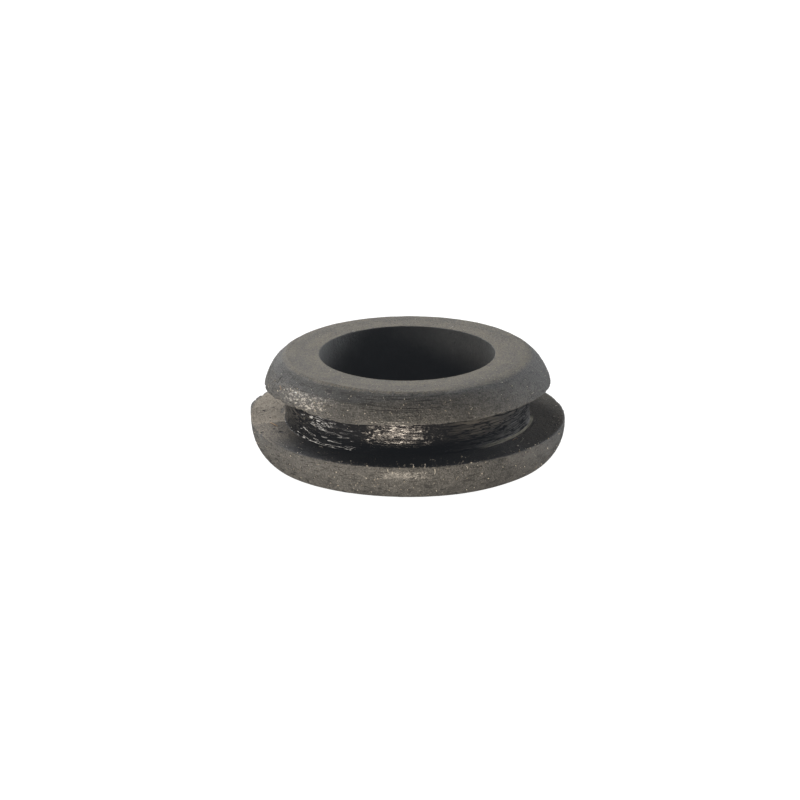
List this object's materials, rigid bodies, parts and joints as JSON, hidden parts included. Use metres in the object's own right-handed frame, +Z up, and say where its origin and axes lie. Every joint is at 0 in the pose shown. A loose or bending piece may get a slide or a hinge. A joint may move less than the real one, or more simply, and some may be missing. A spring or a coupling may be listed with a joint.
{
  "type": "rubber grommet",
  "caption": "Round rubber grommet: an open bore, a square panel groove, a domed upper flange to push through a panel and a wider base flange.",
  "frame": {"origin": "centre of the bore on the foot face of the base flange, where the part stands", "axes": "+Z up the bore, from the base flange to the upper flange; the part is round, so X and Y are any two directions across it"},
  "size_m": [0.0342, 0.0342, 0.011],
  "materials": {
    "rubber": "matt, with a pale dusty bloom outside; glossy black in the groove and the bore"
  },
  "bodies": {
    "root": {"grommet": "rubber"}
  },
  "joints": []
}
